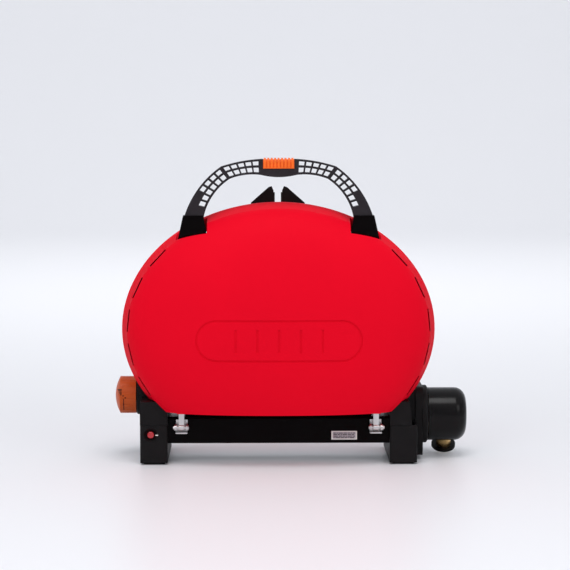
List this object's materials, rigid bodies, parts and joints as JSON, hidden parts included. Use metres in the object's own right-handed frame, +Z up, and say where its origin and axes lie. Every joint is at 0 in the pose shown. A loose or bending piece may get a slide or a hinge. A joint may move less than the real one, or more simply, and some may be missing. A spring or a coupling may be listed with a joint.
{
  "type": "portable tabletop gas grill",
  "caption": "Portable clam-shell gas grill standing on its end blocks, with a folding carry handle, folding front legs, a side knob and a swivelling gas regulator.",
  "frame": {"origin": "middle of the bottom of the whole grill as it stands on its end blocks", "axes": "+Z up as it stands, +X to the right along the hinge line, -Y the lid side; +Y faces the table in use"},
  "size_m": [0.569, 0.23, 0.4885],
  "materials": {
    "red_paint": "satin red enamel",
    "steel": "bright",
    "handle_black": "satin",
    "grip_orange": "soft touch",
    "knob_orange": "satin",
    "gloss_black": "gloss",
    "satin_black": "satin",
    "black_rubber": "matte",
    "iron": "matte enamel",
    "brass": "satin",
    "button_red": "gloss",
    "label_grey": "satin",
    "white_ceramic": "glazed"
  },
  "bodies": {
    "base": {"bottom_shell": "red_paint", "hinge_brackets": "steel", "hinge_pins": "steel", "hinge_pin_clips": "steel", "block_screws": "steel", "leg_pins": "steel", "burner_ring": "steel", "venturi_tube": "steel", "burner_posts": "steel", "drip_tray": "steel", "tray_studs": "steel", "electrode_post": "steel", "spark_pin": "steel", "gas_supply_tube": "steel", "igniter_spring": "steel", "rear_beam": "gloss_black", "rear_beam_cover": "gloss_black", "end_block_right_lower": "satin_black", "end_block_left_lower": "satin_black", "end_block_right_upper": "satin_black", "end_block_left_upper": "satin_black", "regulator_side_plate": "satin_black", "regulator_collar": "satin_black", "knob_bezel": "satin_black", "igniter_dish": "satin_black", "leg_brackets": "satin_black", "latch_keepers": "satin_black", "piezo_unit": "satin_black", "standing_pads": "black_rubber", "table_pads": "black_rubber", "ignition_lead": "black_rubber", "cooking_grate_right": "iron", "cooking_grate_left": "iron", "gas_valve": "brass", "rating_label": "label_grey", "electrode_ceramic": "white_ceramic"},
    "lid": {"lid_shell": "red_paint", "hinge_strap_right": "steel", "hinge_strap_left": "steel"},
    "handle": {"handle_arch": "handle_black", "handle_grip": "grip_orange", "handle_socket_right": "gloss_black", "handle_socket_left": "gloss_black", "handle_screws": "steel", "handle_pivot_pins": "steel"},
    "knob": {"control_knob": "knob_orange", "valve_stem": "steel"},
    "button": {"igniter_button": "button_red"},
    "regulator": {"regulator_cap": "gloss_black", "regulator_body": "brass", "gas_inlet": "brass", "inlet_guard": "satin_black", "inlet_seal": "black_rubber"},
    "leg_right": {"front_leg_right": "satin_black", "toe_pad_right": "black_rubber"},
    "leg_left": {"front_leg_left": "satin_black", "toe_pad_left": "black_rubber"}
  },
  "joints": [
    {"name": "lid_hinge", "type": "hinge", "parent": "base", "child": "lid", "pos_m": [-0.0205, -0.062, 0.061], "axis": [1, 0, 0], "range_deg": [0, 90]},
    {"name": "handle_pivot", "type": "hinge", "parent": "lid", "child": "handle", "pos_m": [-0.0205, -0.047, 0.369], "axis": [1, 0, 0], "range_deg": [0, 60]},
    {"name": "leg_right_fold", "type": "hinge", "parent": "base", "child": "leg_right", "pos_m": [0.0295, 0.07, 0.374], "axis": [0, 0, -1], "range_deg": [0, 90]},
    {"name": "leg_left_fold", "type": "hinge", "parent": "base", "child": "leg_left", "pos_m": [-0.0705, 0.07, 0.374], "axis": [0, 0, 1], "range_deg": [0, 90]},
    {"name": "knob_turn", "type": "hinge", "parent": "base", "child": "knob", "pos_m": [-0.2675, 0.028, 0.1015], "axis": [-1, 0, 0], "range_deg": [-90, 0]},
    {"name": "igniter_press", "type": "slide", "parent": "base", "child": "button", "axis": [0, 1, 0], "range_m": [0, 0.004], "stiffness_N_per_m": 900, "springref_m": -0.001, "deforming": ["igniter_spring"]},
    {"name": "regulator_swivel", "type": "hinge", "parent": "base", "child": "regulator", "pos_m": [0.2515, 0.028, 0.069], "axis": [1, 0, 0], "range_deg": [-10, 57]}
  ]
}
